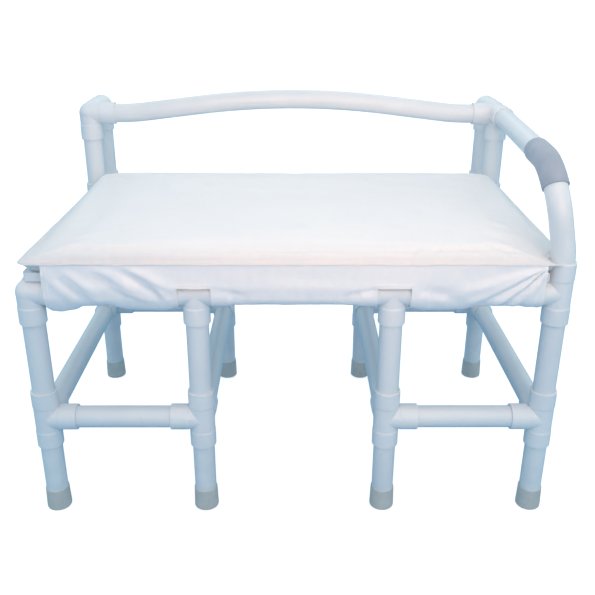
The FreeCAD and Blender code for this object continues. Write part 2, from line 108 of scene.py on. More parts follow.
class Graph:
    """A material's node tree with short calls that add nodes and join them."""

    def __init__(self, name: str, coordinates: Coordinates = Coordinates.OBJECT) -> None:
        """Start a material.

        Args:
            name: the material's name.
            coordinates: what its patterns follow.
        """
        self.material = bpy.data.materials.new(name)
        self.material.use_nodes = True
        self.tree = self.material.node_tree
        self.shader = self.tree.nodes["Principled BSDF"]
        texture = self.tree.nodes.new("ShaderNodeTexCoord")
        self.object_place = texture.outputs["Object"]
        self.place = texture.outputs[coordinates.value]

    def feed(self, socket: Socket, value: Value) -> None:
        """Link an input to another node's output, or set it to a plain value.

        Args:
            socket: the input.
            value: an output socket, a number or a row of numbers.
        """
        if isinstance(value, Socket):
            self.tree.links.new(value, socket)
        else:
            socket.default_value = value

    def add(self, kind: str, **inputs: Value) -> bpy.types.Node:
        """Add a node.

        Args:
            kind: the node's type, without its first word.
            inputs: values of its inputs, with _ for a space in a name.

        Returns:
            The node.
        """
        made = self.tree.nodes.new("ShaderNode" + kind)
        for name, value in inputs.items():
            self.feed(made.inputs[name.replace("_", " ")], value)
        return made

    def noise(self, scale: float, detail: float = 3.0, rough: float = 0.5,
              stretch: Point = (1, 1, 1), bend: float = 0.0) -> Socket:
        """A soft noise.

        Args:
            scale: cells in a metre.
            detail: octaves.
            rough: strength of the finer octaves.
            stretch: scale along each axis.
            bend: how far the noise distorts itself.

        Returns:
            The socket with values about 0.5.
        """
        mapping = self.add("Mapping", Vector=self.place, Scale=stretch)
        return self.add("TexNoise", Vector=mapping.outputs["Vector"], Scale=scale, Detail=detail,
                        Roughness=rough, Distortion=bend).outputs["Fac"]

    def cells(self, scale: float) -> Socket:
        """Distance to the nearest of many scattered points, for pores and grains."""
        return self.add("TexVoronoi", Vector=self.place, Scale=scale).outputs["Distance"]

    def wave(self, scale: float, axis: str) -> Socket:
        """Straight bands across one axis, for the yarns of a weave.

        Args:
            scale: bands in a metre.
            axis: X or Y.

        Returns:
            The socket with values from 0 to 1.
        """
        made = self.add("TexWave", Vector=self.place, Scale=scale, Distortion=0.6, Detail=1.0)
        made.bands_direction = axis
        return made.outputs["Fac"]

    def height(self) -> Socket:
        """Height above the floor."""
        return self.add("SeparateXYZ", Vector=self.object_place).outputs["Z"]

    def spread(self, value: Socket, low: float, high: float,
               start: float = 0.0, end: float = 1.0) -> Socket:
        """Map a value from low..high to start..end, held at both ends."""
        return self.add("MapRange", Value=value, From_Min=low, From_Max=high,
                        To_Min=start, To_Max=end).outputs["Result"]

    def uneven(self, scale: float, start: float, end: float, detail: float = 3.0) -> Socket:
        """A value that drifts between start and end over the surface, for roughness."""
        return self.spread(self.noise(scale, detail), 0.3, 0.7, start, end)

    def times(self, first: Socket, second: Socket,
              operation: str = "MULTIPLY") -> Socket:
        """Combine two values.

        Args:
            first: one value.
            second: the other.
            operation: the Math node's operation.

        Returns:
            The combined value.
        """
        made = self.add("Math")
        made.operation = operation
        self.feed(made.inputs[0], first)
        self.feed(made.inputs[1], second)
        return made.outputs["Value"]

    def blend(self, amount: Socket, base: Socket | Colour,
              over: Colour) -> Socket:
        """Lay one colour over another.

        Args:
            amount: how much of it shows, from 0 to 1.
            base: the colour below.
            over: the colour laid over it.

        Returns:
            The blended colour.
        """
        made = self.add("Mix")
        made.data_type = "RGBA"
        self.feed(made.inputs[0], amount)
        self.feed(made.inputs[6], base if isinstance(base, Socket) else (*base, 1))
        self.feed(made.inputs[7], (*over, 1))
        return made.outputs[2]

    def bump(self, value: Socket, depth: float, strength: float = 1.0,
             below: Socket | None = None) -> Socket:
        """Relief from a value.

        Args:
            value: the relief, from 0 to 1.
            depth: its depth in metres.
            strength: share of it that shows.
            below: another relief that this one adds to.

        Returns:
            The normal socket.
        """
        made = self.add("Bump", Distance=depth, Strength=strength, Height=value)
        if below is not None:
            self.feed(made.inputs["Normal"], below)
        return made.outputs["Normal"]

    def finish(self, colour: Value, roughness: Socket,
               normal: Socket, **fixed: float) -> Material:
        """Join colour, roughness and relief to the shader and set what is the same all over.

        Args:
            colour: base colour.
            roughness: roughness.
            normal: relief.
            fixed: other shader inputs, with _ for a space.

        Returns:
            The material.
        """
        joined = {"Base_Color": colour, "Roughness": roughness, "Normal": normal}
        for name, value in (joined | fixed).items():
            self.feed(self.shader.inputs[name.replace("_", " ")], value)
        return self.material


@dataclass(frozen=True)
class PvcFinish:
    """Furniture-grade PVC: satin, faintly mottled, with handling scuffs and floor grime."""

    name: str
    base: Colour
    shade: Colour
    low_gloss: float
    high_gloss: float
    skin_scale: float
    skin_depth: float
    grime: Colour = (0.56, 0.61, 0.64)
    grime_height: float = 0.16

    def material(self) -> Material:
        """Build the material.

        Returns:
            The material.
        """
        graph = Graph(self.name)
        cloudy = graph.spread(graph.noise(7.0, 4.0), 0.38, 0.68)
        colour = graph.blend(cloudy, self.base, self.shade)
        scuffs = graph.spread(graph.noise(55.0, 6.0, 0.62, (1.0, 1.0, 0.22), 0.4), 0.66, 0.74, 0.0, 0.35)
        colour = graph.blend(scuffs, colour, (0.60, 0.65, 0.69))
        near_floor = graph.spread(graph.height(), 0.02, self.grime_height, 0.5, 0.0)
        dirty = graph.times(near_floor, graph.spread(graph.noise(34.0, 5.0), 0.42, 0.66))
        colour = graph.blend(dirty, colour, self.grime)
        gloss = graph.uneven(19.0, self.low_gloss, self.high_gloss, 4.0)
        gloss = graph.times(gloss, graph.spread(scuffs, 0.0, 0.35, 0.0, 0.22), "ADD")
        skin = graph.bump(graph.noise(self.skin_scale, 2.0), self.skin_depth)
        waviness = graph.bump(graph.noise(28.0, 1.0), 0.0007, 0.5, skin)
        marks = graph.bump(scuffs, 0.0003, 0.6, waviness)
        return graph.finish(colour, gloss, marks, IOR=1.53, Subsurface_Weight=0.04, Coat_Weight=0.08)


@dataclass(frozen=True)
class RubberFinish:
    """Moulded grey rubber with a dusty bloom that gathers at the foot."""

    name: str
    base: Colour
    bloom: Colour

    def material(self) -> Material:
        """Build the material.

        Returns:
            The material.
        """
        graph = Graph(self.name)
        colour = graph.blend(graph.spread(graph.noise(46.0, 5.0, 0.6), 0.42, 0.68), self.base, self.bloom)
        low = graph.spread(graph.height(), 0.0, 0.02, 0.55, 0.0)
        dust = graph.times(low, graph.spread(graph.noise(120.0, 4.0), 0.4, 0.6))
        colour = graph.blend(dust, colour, (0.58, 0.585, 0.56))
        rough = graph.uneven(70.0, 0.58, 0.82)
        grain = graph.bump(graph.noise(900.0, 2.0), 0.0002)
        flow = graph.bump(graph.noise(60.0, 2.0, 0.5, (1, 1, 3)), 0.0006, 0.5, grain)
        return graph.finish(colour, rough, flow, IOR=1.5)


@dataclass(frozen=True)
class GripFinish:
    """Grey foam sleeve with fine closed pores and a palm-polished sheen."""

    name: str
    base: Colour
    worn: Colour

    def material(self) -> Material:
        """Build the material.

        Returns:
            The material.
        """
        graph = Graph(self.name)
        pores = graph.spread(graph.cells(950.0), 0.05, 0.5)
        colour = graph.blend(graph.spread(graph.noise(30.0, 4.0), 0.4, 0.7), self.base, self.worn)
        # Painted shade: the pore hollows, where the relief is lowest, are darkened.
        colour = graph.blend(graph.spread(pores, 0.0, 0.35, 0.4, 0.0), colour, (0.21, 0.24, 0.29))
        rough = graph.uneven(24.0, 0.46, 0.68)
        relief = graph.bump(pores, 0.0003, 0.8)
        ridges = graph.bump(graph.noise(45.0, 2.0), 0.0008, 0.5, relief)
        return graph.finish(colour, rough, ridges, IOR=1.45, Sheen_Weight=0.15)


@dataclass(frozen=True)
class BoardFinish:
    """White plastic-faced board with a pebbled surface and faint scratches."""

    name: str
    base: Colour
    shade: Colour

    def material(self) -> Material:
        """Build the material.

        Returns:
            The material.
        """
        graph = Graph(self.name)
        colour = graph.blend(graph.spread(graph.noise(9.0, 5.0), 0.35, 0.7), self.base, self.shade)
        lines = graph.spread(graph.noise(26.0, 6.0, 0.7, (0.15, 5.0, 5.0)), 0.64, 0.7, 0.0, 0.4)
        colour = graph.blend(lines, colour, (0.58, 0.62, 0.66))
        rough = graph.uneven(40.0, 0.38, 0.56)
        pebble = graph.bump(graph.cells(420.0), 0.0003, 0.7)
        scratched = graph.bump(lines, 0.0002, 0.6, pebble)
        return graph.finish(colour, rough, scratched, IOR=1.5)


@dataclass(frozen=True)
class ClothFinish:
    """White coated nylon: a fine plain weave under a wipe-clean coating, softly crumpled."""

    name: str
    coordinates: Coordinates
    base: Colour
    shade: Colour
    yarns: float = 330.0
    crumple: float = 0.0011
    # How much painted shade darkens the cover at the seam, and the heights over which that painted shade
    # fades out.
    seam_shade: float = 0.0
    seam_height: float = 0.530
    unshaded_height: float = 0.556

    def material(self) -> Material:
        """Build the material.

        Returns:
            The material.
        """
        graph = Graph(self.name, self.coordinates)
        colour = graph.blend(graph.spread(graph.noise(4.5, 5.0), 0.36, 0.7), self.base, self.shade)
        handled = graph.spread(graph.noise(15.0, 6.0, 0.6, bend=0.5), 0.6, 0.78, 0.0, 0.3)
        colour = graph.blend(handled, colour, (0.74, 0.77, 0.80))
        # Painted shade: the cover is darkened near the seam height and fades out a little above it, so the
        # low band along the seam is painted shaded.
        near_seam = graph.spread(graph.height(), self.seam_height, self.unshaded_height, self.seam_shade, 0.0)
        colour = graph.blend(near_seam, colour, (0.68, 0.67, 0.68))
        weave = graph.times(graph.wave(self.yarns, "X"), graph.wave(self.yarns, "Y"), "MAXIMUM")
        # Painted shade: the gaps between the yarns, where the weave's relief is lowest, are darkened.
        colour = graph.blend(graph.spread(weave, 0.0, 0.6, 0.16, 0.0), colour, (0.66, 0.70, 0.75))
        rough = graph.uneven(60.0, 0.44, 0.6, 4.0)
        yarn = graph.bump(weave, 0.00012, 0.6)
        crinkle = graph.bump(graph.noise(95.0, 5.0, 0.6, bend=0.8), 0.0004, 0.5, yarn)
        soft = graph.bump(graph.noise(17.0, 4.0, 0.55, (1.0, 1.6, 1.0), 1.2), self.crumple, 0.8, crinkle)
        return graph.finish(colour, rough, soft, IOR=1.46, Sheen_Weight=0.18, Sheen_Roughness=0.4,
                            Coat_Weight=0.05, Coat_Roughness=0.35)


@dataclass(frozen=True)
class ThreadFinish:
    """Twisted polyester thread."""

    name: str
    base: Colour

    def material(self) -> Material:
        """Build the material.

        Returns:
            The material.
        """
        graph = Graph(self.name)
        strands = graph.spread(graph.noise(1500.0, 2.0), 0.4, 0.6)
        colour = graph.blend(strands, self.base, (0.70, 0.73, 0.76))
        rough = graph.uneven(300.0, 0.5, 0.7)
        return graph.finish(colour, rough, graph.bump(strands, 0.0001, 0.6), Sheen_Weight=0.2)


@dataclass(frozen=True)
class SteelFinish:
    """Plated steel with fine turning marks and a few dull spots."""

    name: str
    base: Colour
    dull: Colour

    def material(self) -> Material:
        """Build the material.

        Returns:
            The material.
        """
        graph = Graph(self.name)
        colour = graph.blend(graph.spread(graph.noise(160.0, 5.0), 0.45, 0.7), self.base, self.dull)
        rough = graph.uneven(220.0, 0.22, 0.42, 4.0)
        turned = graph.bump(graph.noise(1400.0, 2.0, 0.5, (1.0, 1.0, 6.0)), 0.00008, 0.6)
        return graph.finish(colour, rough, turned, Metallic=1.0)


FINISHES = {
    "pvc_pipe": PvcFinish("pvc_pipe", (0.76, 0.785, 0.81), (0.715, 0.745, 0.78),
                          0.30, 0.42, 260.0, 0.00010),
    "pvc_fitting": PvcFinish("pvc_fitting", (0.775, 0.795, 0.82), (0.735, 0.76, 0.79),
                             0.34, 0.48, 420.0, 0.00016),
    "rubber_tip": RubberFinish("rubber_tip", (0.52, 0.53, 0.51), (0.57, 0.585, 0.57)),
    "foam_grip": GripFinish("foam_grip", (0.345, 0.405, 0.49), (0.395, 0.45, 0.53)),
    "seat_board": BoardFinish("seat_board", (0.78, 0.82, 0.86), (0.72, 0.77, 0.82)),
    "cushion_foam": BoardFinish("cushion_foam", (0.85, 0.84, 0.78), (0.80, 0.78, 0.70)),
    "cushion_cover": ClothFinish("cushion_cover", Coordinates.OBJECT, (0.885, 0.874, 0.874),
                                 (0.857, 0.850, 0.856), seam_shade=0.6),
    "skirt_cloth": ClothFinish("skirt_cloth", Coordinates.CLOTH, (0.90, 0.90, 0.91), (0.87, 0.872, 0.888)),
    "thread": ThreadFinish("thread", (0.83, 0.85, 0.88)),
    "screw_steel": SteelFinish("screw_steel", (0.62, 0.63, 0.64), (0.42, 0.43, 0.44)),
    "press_stud": SteelFinish("press_stud", (0.72, 0.72, 0.71), (0.50, 0.50, 0.49)),
}


class Workshop:
    """Holds each finish's material once, and dresses pieces with them."""

    def __init__(self) -> None:
        """Build every material."""
        self.materials = {name: finish.material() for name, finish in FINISHES.items()}

    def dress(self, piece: Piece, finish: str) -> None:
        """Give a piece one finish all over."""
        piece.data.materials.clear()
        piece.data.materials.append(self.materials[finish])

    def dress_frame(self) -> None:
        """Give each CAD node its finish, which the first word that fits its name tells."""
        for name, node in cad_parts.items():
            words = [word for word in NODE_WORDS if word in name]
            self.dress(node, NODE_WORDS[words[0]] if words else "pvc_pipe")


NODE_WORDS = {
    "tips": "rubber_tip",
    "grip": "foam_grip",
    "board": "seat_board",
    "foam": "cushion_foam",
    "cover": "cushion_cover",
    "flap_studs": "press_stud",
    "flap": "cushion_cover",
    "screws": "screw_steel",
    "fitting": "pvc_fitting",
    "elbow": "pvc_fitting",
}


# ---- tools that the pieces share ----

def deselect() -> None:
    """Deselect every object before a primitive is added."""
    bpy.ops.object.select_all(action="DESELECT")


def only(piece: Piece) -> None:
    """Deselect all, then select one piece and make it active.

    Args:
        piece: the one that operators are to work on.
    """
    deselect()
    piece.select_set(True)
    bpy.context.view_layer.objects.active = piece


def edit(piece: Piece, operator: Callable[..., object], **options: float) -> None:
    """Run one operator on a piece's whole mesh in edit mode.

    Args:
        piece: the piece.
        operator: the mesh operator.
        options: its settings.
    """
    only(piece)
    bpy.ops.object.mode_set(mode="EDIT")
    bpy.ops.mesh.select_all(action="SELECT")
    operator(**options)
    bpy.ops.object.mode_set(mode="OBJECT")


def linked(name: str, data: bpy.types.ID) -> Piece:
    """Put new data into the scene as an object.

    Args:
        name: the object's name.
        data: its mesh, curve, light or camera.

    Returns:
        The object.
    """
    piece = bpy.data.objects.new(name, data)
    bpy.context.scene.collection.objects.link(piece)
    return piece


def named(name: str) -> Piece:
    """Name the active object and its mesh.

    Args:
        name: the piece's name.

    Returns:
        The object.
    """
    piece = bpy.context.active_object
    piece.name = piece.data.name = name
    return piece


def settle(piece: Piece) -> None:
    """Put a finished piece's place into its mesh, so that its object sits at the origin."""
    only(piece)
    bpy.ops.object.transform_apply(location=True, rotation=True, scale=True)


def apply_modifiers(piece: Piece) -> None:
    """Apply every modifier of a piece in order.

    Args:
        piece: the piece.
    """
    only(piece)
    for name in [modifier.name for modifier in piece.modifiers]:
        bpy.ops.object.modifier_apply(modifier=name)


def mount(*pieces: Piece) -> None:
    """Let soft pieces ride on the bench's one body.

    Args:
        pieces: the pieces.
    """
    for piece in pieces:
        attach(piece, BODY)


def read_rows(source: bpy.types.bpy_prop_collection, what: str) -> Rows:
    """Read one property of every vertex.

    Args:
        source: a mesh's vertices or vertex normals.
        what: co or vector.

    Returns:
        Rows of x, y, z.
    """
    flat = np.empty(len(source) * 3, np.float32)
    source.foreach_get(what, flat)
    return flat.reshape(-1, 3).astype(float)


def points_of(mesh: Mesh) -> Rows:
    """A mesh's vertices as rows of x, y, z."""
    return read_rows(mesh.vertices, "co")


def set_points(mesh: Mesh, points: Rows) -> None:
    """Move a mesh's vertices."""
    mesh.vertices.foreach_set("co", points.astype(np.float32).ravel())
    mesh.update()


def eased(value: Rows) -> Rows:
    """Turn 0..1 into a smooth step."""
    held = np.clip(value, 0.0, 1.0)
    return held * held * (3.0 - 2.0 * held)


def unevenness(points: Rows, scale: float, seed: float) -> Rows:
    """Smooth noise about 0 at each point.

    Args:
        points: rows of x, y, z.
        scale: cells in a metre.
        seed: shifts the noise.

    Returns:
        One value from -1 to 1 for each point.
    """
    shift = Vector((seed, seed * 1.7, seed * 0.3))
    return np.array([noise.noise(Vector(point) * scale + shift) for point in points])


@dataclass(frozen=True)
class Fold:
    """A ridge or a hollow in cloth along a straight stroke, in the cloth's own two directions."""

    start: tuple[float, float]
    end: tuple[float, float]
    height: float
    left: float = 0.012
    right: float = 0.008
    flare: float = 0.0

    def lift(self, across: Rows, down: Rows) -> Rows:
        """How far the fold lifts each place.

        Args:
            across: places along the rail.
            down: places down the cloth.

        Returns:
            Heights in metres.
        """
        along_x, along_y = self.end[0] - self.start[0], self.end[1] - self.start[1]
        length = math.hypot(along_x, along_y)
        from_x, from_y = across - self.start[0], down - self.start[1]
        share = (from_x * along_x + from_y * along_y) / length ** 2
        side = (from_x * along_y - from_y * along_x) / length
        widen = 1.0 - self.flare * (1.0 - np.clip(share, 0.0, 1.0))
        spread = np.where(side > 0, self.left, self.right) * widen
        past = np.abs(share - np.clip(share, 0.0, 1.0)) * length
        taper = eased(1.0 - past / 0.014) * (0.55 + 0.45 * np.sin(np.pi * np.clip(share, 0.05, 0.95)))
        return self.height * np.exp(-((side / spread) ** 2)) * taper


# ---- stitches ----

@dataclass
class Stitches:
    """Short lengths of thread laid end to end along seams, all copies of one modelled stitch."""

    pitch: float = 0.0042
    length: float = 0.0031
    thickness: float = 0.0007
    places: list[Matrix] = field(default_factory=list)

    def run(self, line: Rows, outward: Rows) -> None:
        """Sew along a line.

        Args:
            line: rows of x, y, z close together.
            outward: the surface's normal at each.
        """
        steps = np.linalg.norm(np.diff(line, axis=0), axis=1)
        far = np.concatenate([[0.0], np.cumsum(steps)])
        for middle in np.arange(self.pitch, far[-1] - self.pitch, self.pitch):
            here = np.array([np.interp(middle, far, line[:, i]) for i in range(3)])
            ahead = np.array([np.interp(middle + self.length / 2, far, line[:, i]) for i in range(3)])
            normal = Vector([float(np.interp(middle, far, outward[:, i])) for i in range(3)]).normalized()
            tangent = (Vector(ahead) - Vector(here)).normalized()
            side = normal.cross(tangent).normalized()
            turned = Matrix((tangent, side, normal)).transposed().to_4x4()
            self.places.append(Matrix.Translation(Vector(here) + normal * self.thickness * 0.3) @ turned)

    def build(self, name: str) -> Piece:
        """Model one stitch and copy it to every place.

        Args:
            name: the piece's name.

        Returns:
            All the stitches as one mesh.
        """
        deselect()
        bpy.ops.mesh.primitive_cylinder_add(vertices=6, radius=self.thickness / 2, depth=self.length,
                                            rotation=(0, math.pi / 2, 0))
        piece = named(name)
        settle(piece)
        edit(piece, bpy.ops.mesh.bevel, offset=self.thickness * 0.22, segments=1)
        one = points_of(piece.data)
        faces = [tuple(face.vertices) for face in piece.data.polygons]
        stack, corners = [], []
        for number, place in enumerate(self.places):
            matrix = np.array(place)
            stack.append(one @ matrix[:3, :3].T + matrix[:3, 3])
            corners += [tuple(corner + number * len(one) for corner in face) for face in faces]
        piece.data.clear_geometry()
        piece.data.from_pydata(np.concatenate(stack).tolist(), [], corners)
        piece.data.update()
        return piece


# ---- the cushion ----

@dataclass
class Cushion:
    """The padded seat: a crowned pillow with a flanged seam all round and a notch for the arm."""

    workshop: Workshop
    voxel: float = 0.006
    pressure: float = 4.0
    frames: int = 20
    cap: float = 0.0038
    top: float = 0.0355
    foam_inset: float = 0.0036
    pull_in: float = 0.0095
    bow: float = 0.0018
    bow_span: float = 0.542
    rise_span: float = 0.50
    back_fullness: float = 0.7
    steepest: float = 2.8
    pucker: float = 0.0013
    knife_edge: float = 0.0022
    front_crown: Profile = ((0.0, 0.0), (0.003, 0.22), (0.006, 0.42), (0.010, 0.56), (0.015, 0.62),
                            (0.024, 0.66), (0.045, 0.71), (0.09, 0.79), (0.16, 0.89), (0.26, 0.97),
                            (0.36, 1.0))
    back_crown: Profile = ((0.0, 0.0), (0.004, 0.40), (0.009, 0.76), (0.014, 0.95), (0.020, 1.05),
                           (0.05, 1.06), (0.13, 1.0))
    side_crown: Profile = ((0.0, 0.0), (0.010, 0.22), (0.022, 0.45), (0.036, 0.68), (0.06, 0.88),
                           (0.10, 0.97), (0.15, 1.0))
    notch_crown: Profile = ((0.0, 0.0), (0.007, 0.40), (0.015, 0.66), (0.03, 0.84), (0.07, 1.0))
    flange_width: float = 0.0038
    flange_height: float = 0.0015
    stitch_inset: float = 0.0075
    creases: tuple[Fold, ...] = (
        Fold((-0.43, -0.338), (-0.20, -0.335), -0.0024, 0.004, 0.008),
        Fold((-0.36, -0.327), (-0.05, -0.329), 0.0014, 0.008, 0.005),
        Fold((-0.22, -0.340), (0.02, -0.337), -0.0020, 0.004, 0.007),
        Fold((-0.03, -0.334), (0.21, -0.338), -0.0022, 0.005, 0.008),
        Fold((0.06, -0.327), (0.20, -0.330), 0.0013, 0.007, 0.004),
        Fold((0.19, -0.337), (0.42, -0.335), -0.0022, 0.004, 0.008),
        Fold((0.225, -0.322), (0.205, -0.347), -0.0020, 0.005, 0.004),
        Fold((0.262, -0.322), (0.240, -0.348), -0.0022, 0.005, 0.004),
        Fold((0.300, -0.320), (0.276, -0.348), -0.0018, 0.005, 0.004),
        Fold((0.395, -0.322), (0.365, -0.348), -0.0020, 0.006, 0.004),
        Fold((0.435, -0.300), (0.452, -0.345), 0.0022, 0.007, 0.006),
        Fold((0.405, -0.270), (0.447, -0.318), -0.0016, 0.012, 0.008),
        Fold((-0.30, 0.02), (0.14, -0.06), -0.0011, 0.030, 0.022),
        Fold((0.02, 0.10), (0.36, -0.02), 0.0010, 0.026, 0.030),
    )

    def build(self) -> list[Piece]:
        """Make the pillow and its seam.

        Returns:
            The pillow, its flange and its stitches.
        """
        pillow = self.pillow()
        flange = self.flange()
        stitches = self.stitches(pillow)
        mount(pillow, flange, stitches)
        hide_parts("cushion_cover", "cushion_foam")
        return [pillow, flange, stitches]

    def pillow(self) -> Piece:
        """Remesh the foam's shape, blow it up as cloth held at its seam, and crease it.

        Returns:
            The pillow.
        """
        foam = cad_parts["cushion_foam"]
        piece = linked("cushion", foam.data.copy())
        piece.data.materials.clear()
        edit(piece, bpy.ops.mesh.remove_doubles, threshold=1e-5)
        piece.data.remesh_voxel_size = self.voxel
        bpy.ops.object.voxel_remesh()
        self.shape(piece)
        self.inflate(piece)
        smoother = piece.modifiers.new("smoother", "SUBSURF")
        smoother.levels = smoother.render_levels = 1
        apply_modifiers(piece)
        self.crease(piece)
        only(piece)
        bpy.ops.object.shade_smooth()
        self.workshop.dress(piece, "cushion_cover")
        return piece

    def shape(self, piece: Piece) -> None:
        """Crown the top: pressed down along the front, full at the back and soft at the ends.

        Args:
            piece: the remeshed foam.
        """
        places = points_of(piece.data)
        middle = (LAYOUT.cushion_front + LAYOUT.cushion_back) / 2
        half = (LAYOUT.cushion_back - LAYOUT.cushion_front) / 2
        places[:, 0] *= LAYOUT.cushion_side / (LAYOUT.cushion_side - self.foam_inset)
        places[:, 1] = middle + (places[:, 1] - middle) * half / (half - self.foam_inset)
        from_side, from_front, from_back = self.margins(places)
        from_notch = np.hypot(places[:, 0] - LAYOUT.outer_x, places[:, 1] - LAYOUT.front_y)
        from_notch -= LAYOUT.notch_r + self.foam_inset
        fuller = 1.0 + self.back_fullness * self.towards_back(places)
        share = np.ones(len(places))
        for far, crown in ((from_front, self.front_crown), (from_back, self.back_crown),
                           (from_side * fuller, self.side_crown), (from_notch, self.notch_crown)):
            share *= np.interp(far, *zip(*crown))
        inner = np.stack([LAYOUT.cushion_corner - from_side,
                          LAYOUT.cushion_corner - np.minimum(from_front, from_back)])
        rounded = LAYOUT.cushion_corner - np.hypot(*np.maximum(inner, 0.0))
        height = np.minimum(self.top * share, self.steepest * np.maximum(rounded, 0.0))
        above = places[:, 2] > LAYOUT.seam_z
        places[above, 2] = LAYOUT.seam_z + height[above]
        set_points(piece.data, places)

    @staticmethod
    def margins(places: Rows) -> tuple[Rows, Rows, Rows]:
        """Distances inside the seam's nearer end, its front and its back."""
        return (LAYOUT.cushion_side - np.abs(places[:, 0]), places[:, 1] - LAYOUT.cushion_front,
                LAYOUT.cushion_back - places[:, 1])

    def towards_back(self, places: Rows) -> Rows:
        """A smooth step from 0 along the front to 1 near the back."""
        return eased((places[:, 1] - LAYOUT.cushion_front) / self.rise_span)

    def pulled(self, places: Rows) -> Rows:
        """Draw the ends in a little between their corners, the left end most towards the back.

        Args:
            places: rows of x, y, z.

        Returns:
            The moved rows.
        """
        moved = places.copy()
        reach = np.clip(np.abs(places[:, 0]) / LAYOUT.cushion_side, 0.0, 1.0) ** 2
        bow = self.bow * np.sin(np.pi * np.clip((places[:, 1] - LAYOUT.cushion_front) / self.bow_span, 0, 1))
        left = self.pull_in * self.towards_back(places) + bow
        moved[:, 0] += np.where(places[:, 0] < 0, left, -bow) * reach
        return moved

    def inflate(self, piece: Piece) -> None:
        """Run the cloth with pressure, its seam and its underside held, and limit how far it moves.

        Args:
            piece: the crowned pillow.
        """
        before = points_of(piece.data)
        held = piece.vertex_groups.new(name="held")
        near_seam = np.abs(before[:, 2] - LAYOUT.seam_z) < 0.004
        under = before[:, 2] < LAYOUT.board_top + 0.006
        held.add([int(i) for i in np.flatnonzero(near_seam | under)], 1.0, "REPLACE")
        cloth = piece.modifiers.new("cloth", "CLOTH").settings
        cloth.vertex_group_mass = "held"
        cloth.quality = 4
        cloth.mass = 0.3
        cloth.tension_stiffness = cloth.compression_stiffness = 12.0
        cloth.bending_stiffness = 0.4
        cloth.use_pressure = True
        cloth.uniform_pressure_force = self.pressure
        cloth.effector_weights.gravity = 0.0
        scene = bpy.context.scene
        for number in range(1, self.frames + 1):
            scene.frame_set(number)
        evaluated = piece.evaluated_get(bpy.context.evaluated_depsgraph_get())
        moved = points_of(evaluated.data) - before
        far = np.linalg.norm(moved, axis=1, keepdims=True)
        piece.modifiers.clear()
        scene.frame_set(1)
        set_points(piece.data, before + moved * np.minimum(1.0, self.cap / np.maximum(far, 1e-9)))

    def crease(self, piece: Piece) -> None:
        """Sharpen the seam to a knife edge and press the puckers and creases into the top.

        Args:
            piece: the smoothed pillow.
        """
        places = points_of(piece.data)
        outward = read_rows(piece.data.vertex_normals, "vector")
        rise = places[:, 2] - LAYOUT.seam_z
        edge = np.minimum.reduce(self.margins(places))
        near_edge = eased(1.0 - edge / 0.05)
        along = np.where(np.abs(places[:, 0]) > LAYOUT.cushion_side - 0.03, places[:, 1], places[:, 0])
        waves = np.stack([along * 42.0, edge * 9.0, np.zeros_like(along)], axis=1)
        puckers = unevenness(waves, 1.0, 3.1) + 0.5 * unevenness(waves, 2.3, 9.4)
        above = eased(rise / 0.006)
        lift = puckers * self.pucker * near_edge * above
        lift += 0.0012 * unevenness(places, 9.0, 1.3) * above + 0.0005 * unevenness(places, 31.0, 4.4) * above
        on_top = eased((outward[:, 2] - 0.15) / 0.4)
        for fold in self.creases:
            lift += fold.lift(places[:, 0], places[:, 1]) * on_top
        knife = self.knife_edge * np.exp(-((rise / 0.0035) ** 2)) * eased(1.0 - edge / 0.012)
        flat_out = outward * np.array([1.0, 1.0, 0.0])
        places = places + outward * lift[:, None] + flat_out * knife[:, None]
        set_points(piece.data, self.pulled(places))

    def outline(self, inset: float = 0.0) -> Rows:
        """The seam's line in plan, anticlockwise from the front left, closed.

        Args:
            inset: distance inside the seam.

        Returns:
            Rows of x, y, z, close together.
        """
        side, corner = LAYOUT.cushion_side - inset, LAYOUT.cushion_corner
        front, back = LAYOUT.cushion_front + inset, LAYOUT.cushion_back - inset
        notch = LAYOUT.notch_r + inset
        arm_x, arm_y = LAYOUT.outer_x, LAYOUT.front_y
        line = [(-side + corner, front)]
        front_meet = arm_x - math.sqrt(max(notch ** 2 - (arm_y - front) ** 2, 0.0))
        line += [(x, front) for x in np.linspace(-side + corner, front_meet, 280)[1:]]
        first = math.atan2(front - arm_y, front_meet - arm_x)
        last = math.acos((side - arm_x) / notch)
        sweep = (first - last) % (2 * math.pi)
        line += [(arm_x + notch * math.cos(first - sweep * t), arm_y + notch * math.sin(first - sweep * t))
                 for t in np.linspace(0, 1, 30)[1:]]
        line += [(side, y) for y in np.linspace(line[-1][1], back - corner, 150)[1:]]
        line += self.corner(side - corner, back - corner, corner, 0.0)
        line += [(x, back) for x in np.linspace(side - corner, -side + corner, 280)[1:]]
        line += self.corner(-side + corner, back - corner, corner, math.pi / 2)
        line += [(-side, y) for y in np.linspace(back - corner, front + corner, 150)[1:]]
        line += self.corner(-side + corner, front + corner, corner, math.pi)
        return self.pulled(np.array([(x, y, LAYOUT.seam_z) for x, y in line]))

    @staticmethod
    def corner(x: float, y: float, radius: float, start: float) -> list[tuple[float, float]]:
        """Points round a quarter circle after its first."""
        return [(x + radius * math.cos(start + turn), y + radius * math.sin(start + turn))
                for turn in np.linspace(0, math.pi / 2, 10)[1:]]

